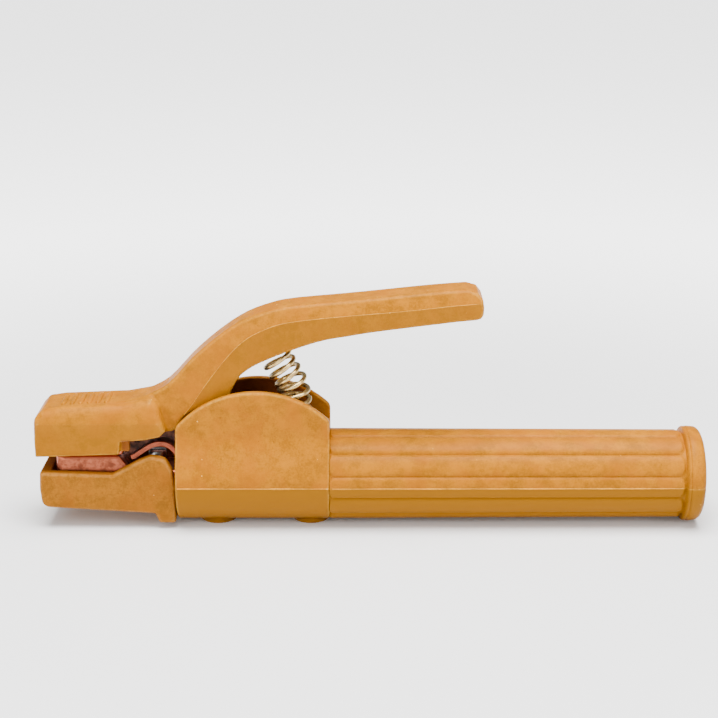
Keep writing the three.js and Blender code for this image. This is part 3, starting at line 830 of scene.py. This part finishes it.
def flash_bead(name, lines, radius, material, seed):
    """Thin uneven ridge where the two halves of a mould met."""
    tree = Shaping(name + " ridge", Radius=radius, Seed=float(seed))
    path = tree.path()
    path = tree.node("GeometryNodeResampleCurve", {"mode": "LENGTH"}, {"Curve": path, "Length": 0.9})
    where = tree.vector("ADD", tree.node("GeometryNodeInputPosition"), tree.xyz(tree.input("Seed"), 0, 0))
    rough = tree.node("ShaderNodeTexNoise", {}, {"Vector": where, "Scale": 0.9, "Detail": 3.0}, "Fac")
    slow = tree.node("ShaderNodeTexNoise", {}, {"Vector": where, "Scale": 0.12, "Detail": 1.0}, "Fac")
    size = tree.input("Radius") * (0.55 + 0.7 * rough) * (0.6 + 0.5 * tree.step(slow, 0.35, 0.65))
    path = tree.node("GeometryNodeSetCurveRadius", {}, {"Curve": path, "Radius": size})
    bead = tree.swept(path, tree.circle(7, 1.0), tree.node("GeometryNodeInputRadius"))
    points, edges = [], []
    for line in lines:
        edges += [(a + len(points), b + len(points)) for a, b in chain(len(line))]
        points += line
    mesh = tree.run(name, bead, material, points, edges)
    mesh.shade_smooth()
    return mesh


def coil_spring(sizes, material):
    """Compression spring wound about a bent centre line, with close end turns."""
    foot = centre_mm("lower_spring_seat")[0]
    centre = spline([
        (foot, 25.7), (foot, 42), (foot - 0.1, 50), (-32.4, 57.9), (-33.7, 61.9), (-35.9, 65.5),
        (-39.2, 71.3), (-42.1, 77.7),
    ], steps=60)
    turns = sizes.spring_turns
    wire_r = sizes.spring_wire / MM / 2
    tree = Shaping("Coil spring", Turns=float(turns), Radius=SPRING_R - wire_r, Wire=wire_r)
    path = tree.path()
    wire = tree.node("GeometryNodeCurvePrimitiveLine")
    points_per_turn = 36
    sockets = {"Curve": wire, "Count": turns * points_per_turn}
    wire = tree.node("GeometryNodeResampleCurve", {"mode": "COUNT"}, sockets)
    t = tree.node("GeometryNodeSplineParameter")
    close_turns = 1.2
    ends = close_turns / turns
    close_pitch = 0.62
    close = close_pitch * (tree.math("MINIMUM", t, ends) + tree.math("MAXIMUM", t - (1 - ends), 0))
    open_part = tree.math("MAXIMUM", tree.math("MINIMUM", t, 1 - ends) - ends, 0)
    along = close + open_part * ((1 - 2 * ends * close_pitch) / (1 - 2 * ends))
    sockets = {"Curves": path, "Factor": along}
    spot = tree.node("GeometryNodeSampleCurve", {"mode": "FACTOR"}, sockets, "Position")
    side = tree.vector("NORMALIZE", tree.vector("CROSS_PRODUCT", (0, 1, 0), tree.of(spot, "Tangent")))
    angle = t * tree.input("Turns") * math.tau
    out = tree.scaled(side, tree.input("Radius") * tree.math("COSINE", angle))
    out = tree.vector("ADD", out, tree.xyz(0, tree.input("Radius") * tree.math("SINE", angle), 0))
    wire = tree.moved(wire, tree.vector("ADD", spot, out))
    body = tree.swept(wire, tree.circle(12, tree.input("Wire")))
    mesh = tree.run("spring_coil", body, material, [(px, 0, pz) for px, pz in centre], chain(len(centre)))
    mesh.shade_smooth()
    return mesh


STRAP_LINE = spline([
    (-100.8, 30), (-98.8, 30.9), (-96.4, 32.6), (-93, 34.8), (-90.6, 35.7), (-88.3, 36), (-86, 35.6),
    (-84, 34.4), (-82, 32.2), (-79.6, 28), (-77.6, 24.6), (-74.6, 23.3), (-66.5, 23.3),
], steps=100)


def foil_strap(sizes, material):
    """Flexible strap of thin copper foils, a little out of line with each other."""
    layers = sizes.foil_layers
    pitch = STRAP_THICKNESS / layers
    tree = Shaping("Foil strap", Layers=layers, Pitch=pitch, Width=STRAP_WIDTH)
    path = tree.path()
    sheets = tree.node("GeometryNodeDuplicateElements", {"domain": "SPLINE"},
                       {"Geometry": path, "Amount": tree.input("Layers")})
    number = tree.of(sheets, "Duplicate Index")
    tangent = tree.node("GeometryNodeInputTangent")
    up = tree.vector("CROSS_PRODUCT", tangent, (0, 1, 0))
    lift = tree.scaled(up, (number - (layers - 1) / 2) * tree.input("Pitch"))
    wobble = tree.node("ShaderNodeTexWhiteNoise", {"noise_dimensions": "1D"}, {"W": number * 3.7 + 1.3})
    aside = tree.xyz(0, (wobble - 0.5) * 0.5, 0)
    path = tree.node("GeometryNodeSetPosition", {}, {
        "Geometry": sheets, "Offset": tree.vector("ADD", lift, aside),
    })
    path = tree.node("GeometryNodeSetCurveNormal", {"mode": "Z_UP"}, {"Curve": path})
    strip = tree.node("GeometryNodeCurvePrimitiveQuadrilateral", {"mode": "RECTANGLE"},
                      {"Width": tree.input("Width"), "Height": tree.input("Pitch") * 0.86})
    sockets = {"Curve": strip, "Count": 2, "Radius": 0.12}
    strip = tree.node("GeometryNodeFilletCurve", {"mode": "POLY"}, sockets)
    solid = tree.swept(path, strip)
    here = tree.node("GeometryNodeInputPosition")
    narrow = 1 - 0.31 * tree.step(tree.part(here, 0), -81, -78.9)
    squeezed = tree.xyz(tree.part(here, 0), tree.part(here, 1) * narrow, tree.part(here, 2))
    solid = tree.moved(solid, squeezed)
    points = [(x, 0, z) for x, z in STRAP_LINE]
    mesh = tree.run("foil_strap", solid, material, points, chain(len(points)))
    mesh.shade_smooth()
    mesh.set_sharp_from_angle(angle=math.radians(40))
    return mesh


def screws(name, places, head_r, head_height, shaft_r, length, up, material):
    """Slotted cheese-head screws along Z, at places given as (x, z) of the head's outer face."""
    slot_width = 1.3
    bevel = 0.5
    profile = [
        (0, 0.001), (0, head_r - bevel), (bevel * 0.3, head_r - bevel * 0.3), (bevel, head_r),
        (head_height, head_r), (head_height, shaft_r), (length - 0.6, shaft_r), (length, shaft_r - 0.6),
        (length, 0.001),
    ]
    tree, grid, angle, x, radius = turned_tree(name + " tree", len(profile), 32)
    body = close_turned(tree, grid, angle, x, radius, 0)
    cutter = tree.node("GeometryNodeMeshCube", {}, {"Size": (head_height * 0.9, slot_width, head_r * 3)})
    sockets = {"Mesh 1": body, "Mesh 2": cutter}
    body = tree.node("GeometryNodeMeshBoolean", {"operation": "DIFFERENCE"}, sockets)
    line = tree.node("GeometryNodeMeshLine", {"mode": "END_POINTS"}, {
        "Count": len(places), "Start Location": (places[0][0], 0, places[0][1]),
        "Offset": (places[-1][0], 0, places[-1][1]),
    })
    turn = -math.pi / 2 if up else math.pi / 2
    spots = tree.node("GeometryNodeInstanceOnPoints", {}, {
        "Points": line, "Instance": body, "Rotation": (0, turn, 0),
    })
    mesh = tree.run(name, spots, material, [(px, r, 0) for px, r in profile])
    mesh.shade_smooth()
    mesh.set_sharp_from_angle(angle=math.radians(35))
    return mesh


def top_ribs(sizes, material):
    """Plain cross ribs on top of the jaw block, for the thumb."""
    start, end = (-128.5, 53.1), (-110.5, 53.9)
    tree = Shaping("Block ribs", Ribs=sizes.ribs, Width=14.0, Radius=1.1)
    line = tree.node("GeometryNodeMeshLine", {"mode": "END_POINTS"}, {
        "Count": tree.input("Ribs"), "Start Location": (start[0], 0, start[1]), "Offset": (end[0], 0, end[1]),
    })
    bar = tree.node("GeometryNodeCurvePrimitiveLine", {}, {"Start": (0, -1, 0), "End": (0, 1, 0)})
    bar = tree.node("GeometryNodeResampleCurve", {"mode": "COUNT"}, {"Curve": bar, "Count": 25})
    bar = tree.swept(bar, tree.circle(14, 1.0))
    here = tree.node("GeometryNodeInputPosition")
    y = tree.part(here, 1)
    full = (1.0001 - tree.math("ABSOLUTE", y) ** 9) ** 0.5 * tree.input("Radius")
    sized = tree.xyz(tree.part(here, 0) * full, y * tree.input("Width") / 2, tree.part(here, 2) * full * 0.75)
    bar = tree.moved(bar, sized)
    spots = tree.node("GeometryNodeInstanceOnPoints", {}, {"Points": line, "Instance": bar})
    mesh = tree.run("block_ribs", spots, material, [(0, 0, 0)])
    mesh.shade_smooth()
    return mesh


# Stage

def make_stage(scene):
    """Camera at the holder's near side and a little above, a pale floor that glows away from the holder, and soft
    lights.
    """
    camera = bpy.data.objects.new("camera", bpy.data.cameras.new("camera"))
    camera.data.lens = 80.6
    camera.data.sensor_width = 36
    camera.location = (-0.00493, -0.64405, 0.26417)
    camera.rotation_euler = (math.radians(73.3), 0, 0)
    scene.collection.objects.link(camera)
    scene.camera = camera
    floor = bpy.data.meshes.new("floor")
    reach = 8.0
    corners = [(-reach, -reach, 0), (reach, -reach, 0), (reach, reach, 0), (-reach, reach, 0)]
    floor.from_pydata(corners, [], [(0, 1, 2, 3)])
    floor_object = bpy.data.objects.new("floor", floor)
    scene.collection.objects.link(floor_object)
    paper = Finish("floor_paper", Base_Color=(0.78, 0.78, 0.78, 1), Roughness=0.9, Emission_Strength=2.6)
    # Painted light: the floor glows, faintly near the holder and fully from 0.65 m out.
    out = paper.vector("LENGTH", paper.place, output="Value")
    glow = paper.mix(paper.step(out, 0.15, 0.65), (0.02, 0.02, 0.02, 1), (1, 1, 1, 1))
    paper.feed(Emission_Color=glow)
    floor.materials.append(paper.material)
    lights = (
        ("key", (-0.45, -0.85, 0.75), 0.6, 6.6),
        ("low", (-0.75, -0.60, 0.10), 0.3, 2.6),
        ("top", (0.05, -0.15, 1.05), 0.8, 46.0),
        ("fill", (0.80, -0.60, 0.40), 0.35, 4.0),
    )
    aim = Vector((0, 0, 0.04))
    for name, spot, width, power in lights:
        lamp = bpy.data.lights.new(name, "AREA")
        lamp.size = width
        lamp.energy = power
        lamp_object = bpy.data.objects.new(name, lamp)
        lamp_object.location = spot
        lamp_object.rotation_euler = (aim - Vector(spot)).to_track_quat("-Z", "Y").to_euler()
        scene.collection.objects.link(lamp_object)
    world = bpy.data.worlds.new("studio")
    world.use_nodes = True
    world.node_tree.nodes["Background"].inputs["Color"].default_value = (1, 1, 1, 1)
    world.node_tree.nodes["Background"].inputs["Strength"].default_value = 0.35
    scene.world = world


# Add-on

class HolderSizes(bpy.types.PropertyGroup):
    """Sizes of the pieces that follow a rule."""

    flutes: bpy.props.IntProperty(
        name="Flutes", description="Rounded lobes round the handle", default=12, min=6, max=24)
    flute_depth: bpy.props.FloatProperty(
        name="Flute depth", description="Depth of the valleys between the lobes",
        default=1.1 * MM, unit="LENGTH")
    spring_turns: bpy.props.IntProperty(
        name="Spring turns", description="Turns of wire in the spring", default=14, min=6, max=20)
    spring_wire: bpy.props.FloatProperty(
        name="Spring wire", description="Diameter of the spring's wire", default=1.96 * MM, unit="LENGTH")
    foil_layers: bpy.props.IntProperty(
        name="Foils", description="Copper foils in the flexible strap", default=5, min=2, max=10)
    ribs: bpy.props.IntProperty(
        name="Ribs", description="Plain cross ribs on top of the jaw block", default=6, min=2, max=10)
    flash: bpy.props.FloatProperty(
        name="Mould line", description="Radius of the ridge left at the mould's joint",
        default=0.38 * MM, unit="LENGTH")


class HolderColours(bpy.types.PropertyGroup):
    """Colours of the two mouldings."""

    ochre: bpy.props.FloatVectorProperty(
        name="Ochre", description="Colour of the handle and the lever cover", subtype="COLOR",
        size=4, min=0, max=1, default=(0.315, 0.110, 0.0, 1))
    tan: bpy.props.FloatVectorProperty(
        name="Tan", description="Colour of the lower jaw's cap", subtype="COLOR",
        size=4, min=0, max=1, default=(0.24, 0.086, 0.004, 1))


class HOLDER_OT_stage(bpy.types.Operator):
    """Makes the camera, the lights and a pale, glowing floor"""
    bl_idname = "holder.stage"
    bl_label = "Stage"

    def execute(self, context):
        make_stage(context.scene)
        return {"FINISHED"}


class HOLDER_OT_finishes(bpy.types.Operator):
    """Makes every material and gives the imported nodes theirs"""
    bl_idname = "holder.finishes"
    bl_label = "Finishes"

    def execute(self, context):
        make_finishes(context.scene.holder_colours)
        slots = {entry["node"]: entry["material_slot"] for entry in frame["record"]["subparts"]}
        for name, node in frame["nodes"].items():
            node.data.materials.clear()
            # The lever arm gets the near-black painted-shade steel.
            node.data.materials.append(FINISHES["dark_steel" if name == "lever_arm" else slots[name]])
        return {"FINISHED"}


class HOLDER_OT_shell(bpy.types.Operator):
    """Makes the handle shell: body with cheeks, fluted grip and mould line"""
    bl_idname = "holder.shell"
    bl_label = "Handle shell"

    def execute(self, context):
        sizes = context.scene.holder_sizes
        ochre = FINISHES["ochre_moulding"]
        low = (BODY_FRONT - 1.5, -AXIS - 1, -1.2)
        high = (BODY_REAR + 1.5, AXIS + 1, SHELL_HIGH.z + 1.5)
        body = net_mesh("handle_body", body_field, low, high, cell=0.62)
        x, y, z = places_mm(body)
        # Painted shade: the body's lower half is marked to turn darker and duller.
        mark(body, "under", 0.5 - 4 * (z - AXIS))
        # Painted shade inside the slot between the cheeks, weaker towards its rear.
        hollow = np.minimum(SLOT_Y + 0.6 - np.abs(y), z - SLOT_FLOOR + 0.5)
        rear = np.clip((BODY_REAR - 6 - x) / 7, 0.25, 1)
        mark(body, "shaded_inside", np.clip(2 * hollow, 0, 1) * rear)
        place(body, "grip", ochre, "ochre_moulding", ["handle_shell"])
        grip = fluted_handle(sizes, ochre)
        place(grip, "grip", ochre, "ochre_moulding", ["handle_shell"])
        radius = sizes.flash / MM
        lines = []
        for side in (-1, 1):
            lines.append([(x, side * BODY_R, AXIS) for x in (BODY_FRONT + 0.8, BODY_REAR - 0.2)])
            ends = ((BODY_REAR + 1.2, CREST_FRONT), (FLANGE_FRONT - 1.9, CREST_REAR))
            lines.append([(x, side * r, AXIS) for x, r in ends])
            lines.append([(x, side * (AXIS - 1.2 * radius), AXIS) for x in (FLANGE_FRONT + 0.6, REAR - 3.4)])
        bead = flash_bead("handle_mould_line", lines, radius, FINISHES["mould_line"], seed=3)
        place(bead, "grip", FINISHES["mould_line"], "ochre_moulding")
        return {"FINISHED"}


class HOLDER_OT_lever(bpy.types.Operator):
    """Makes the lever cover with its jaw block, ribs and mould line"""
    bl_idname = "holder.lever"
    bl_label = "Lever cover"

    def execute(self, context):
        sizes = context.scene.holder_sizes
        ochre = FINISHES["ochre_moulding"]
        low = (FRONT - 1.5, -BLOCK_Y - 1.6, COVER_LOW.z - 1.5)
        high = (COVER_HIGH.x + 1.5, BLOCK_Y + 1.6, COVER_HIGH.z + 1.5)
        cover = net_mesh("lever_moulding", lever_field, low, high, cell=0.66)
        x, y, z = places_mm(cover)
        # Painted shade below the mould line: a soft fade on the jaw block, a sharp one along the arm.
        line_z = np.where(x < BLOCK_REAR, FLASH_Z, np.interp(x, *np.transpose(LEVER_FLASH)))
        fade = np.where(x < BLOCK_REAR, 0.16, 2)
        mark(cover, "under", 0.55 * np.clip(0.5 - fade * (z - line_z), 0, 1))
        # Painted shade in the lever's hollow underside and on the web behind the strap's front end.
        hollow = np.minimum(np.minimum(7.2 - np.abs(y), x + 133.9), line_z + 1 - z)
        hollow = 0.8 * np.clip(hollow * (z > 34), 0, 1) * (x > -104.9)
        mark(cover, "shaded_inside", np.maximum(hollow, 0.75 * (slab(x, -104.2, -100) < 0) * (z < 40.2)))
        place(cover, "lever", ochre, "ochre_moulding", ["lever_cover"])
        place(top_ribs(sizes, ochre), "lever", ochre, "ochre_moulding")
        seam = [(x, lever_half_width(x) - 0.05, z) for x, z in LEVER_FLASH if -78 < x < 44]
        lines = [[(x, side * y, z) for x, y, z in seam] for side in (-1, 1)]
        bead = flash_bead("lever_mould_line", lines, sizes.flash / MM * 0.55, FINISHES["mould_line"], seed=11)
        place(bead, "lever", FINISHES["mould_line"], "ochre_moulding")
        return {"FINISHED"}


class HOLDER_OT_cap(bpy.types.Operator):
    """Makes the lower jaw's cap"""
    bl_idname = "holder.cap"
    bl_label = "Lower jaw cap"

    def execute(self, context):
        low = CAP_LOW - Vector((1.5, 1.5, 1.5))
        high = CAP_HIGH + Vector((1.5, 1.5, 2.5))
        cap = net_mesh("lower_cap_moulding", cap_field, low, high, cell=0.55)
        place(cap, "grip", FINISHES["tan_moulding"], "tan_moulding", ["lower_jaw_cap"])
        return {"FINISHED"}


class HOLDER_OT_jaws(bpy.types.Operator):
    """Makes both copper jaws"""
    bl_idname = "holder.jaws"
    bl_label = "Copper jaws"

    def execute(self, context):
        margin = Vector((1.5, 1.5, 1.5))
        copper = FINISHES["copper"]
        lower = net_mesh("lower_jaw_casting", jaw_field, JAW_LOW - margin, JAW_HIGH + margin, cell=0.55)
        place(lower, "grip", copper, "copper", ["lower_jaw"])
        upper = net_mesh("upper_contact", upper_field, UPPER_LOW - margin, UPPER_HIGH + margin, cell=0.45)
        place(upper, "lever", copper, "copper", ["upper_jaw"])
        return {"FINISHED"}


class HOLDER_OT_flexible(bpy.types.Operator):
    """Makes the foil strap and the spring, bent shapes between the handle and the lever"""
    bl_idname = "holder.flexible"
    bl_label = "Strap and spring"

    def execute(self, context):
        sizes = context.scene.holder_sizes
        strap = foil_strap(sizes, FINISHES["copper_strap"])
        strap = place(strap, None, FINISHES["copper_strap"], "copper_strap", ["contact_strap"])
        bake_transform(strap)
        coil = coil_spring(sizes, FINISHES["spring_wire"])
        coil = place(coil, None, FINISHES["spring_wire"], "spring_wire", ["spring"])
        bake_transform(coil)
        return {"FINISHED"}


class HOLDER_OT_fasteners(bpy.types.Operator):
    """Makes the visible screws"""
    bl_idname = "holder.fasteners"
    bl_label = "Fasteners"

    def execute(self, context):
        steel = FINISHES["steel"]
        low = box_mm("shell_screw_front")[0].z
        shell = screws("shell_screws", [(x, low) for x in BOSSES], head_r=4.9, head_height=3.2,
                       shaft_r=3.0, length=18.8, up=True, material=steel)
        place(shell, "grip", steel, "steel", ["shell_screw_front", "shell_screw_rear"])
        head = box_mm("lower_cap_screw")[1].z
        spot = (centre_mm("lower_cap_screw").x, head)
        cap = screws("cap_screw", [spot], head_r=3.8, head_height=6.0,
                     shaft_r=2.5, length=20.8, up=False, material=steel)
        place(cap, "grip", steel, "steel", ["lower_cap_screw"])
        return {"FINISHED"}


class HOLDER_PT_panel(bpy.types.Panel):
    """Buttons and sizes of the electrode holder"""
    bl_idname = "HOLDER_PT_panel"
    bl_label = "Electrode holder"
    bl_space_type = "VIEW_3D"
    bl_region_type = "UI"
    bl_category = "Holder"

    def draw(self, context):
        for step in STEPS:
            self.layout.operator(step.bl_idname)
        for group in (context.scene.holder_sizes, context.scene.holder_colours):
            for name in group.bl_rna.properties.keys():
                if name not in {"rna_type", "name"}:
                    self.layout.prop(group, name)


STEPS = (
    HOLDER_OT_stage, HOLDER_OT_finishes, HOLDER_OT_shell, HOLDER_OT_lever, HOLDER_OT_cap,
    HOLDER_OT_jaws, HOLDER_OT_flexible, HOLDER_OT_fasteners,
)
CLASSES = (HolderSizes, HolderColours, *STEPS, HOLDER_PT_panel)


def register():
    for cls in CLASSES:
        bpy.utils.register_class(cls)
    bpy.types.Scene.holder_sizes = bpy.props.PointerProperty(type=HolderSizes)
    bpy.types.Scene.holder_colours = bpy.props.PointerProperty(type=HolderColours)


def unregister():
    del bpy.types.Scene.holder_colours
    del bpy.types.Scene.holder_sizes
    for cls in reversed(CLASSES):
        bpy.utils.unregister_class(cls)


def main():
    """Builds the whole holder."""
    register()
    bpy.ops.holder.stage()
    bpy.ops.holder.finishes()
    bpy.ops.holder.shell()
    bpy.ops.holder.lever()
    bpy.ops.holder.cap()
    bpy.ops.holder.jaws()
    bpy.ops.holder.flexible()
    bpy.ops.holder.fasteners()


if __name__ == "__main__":
    main()
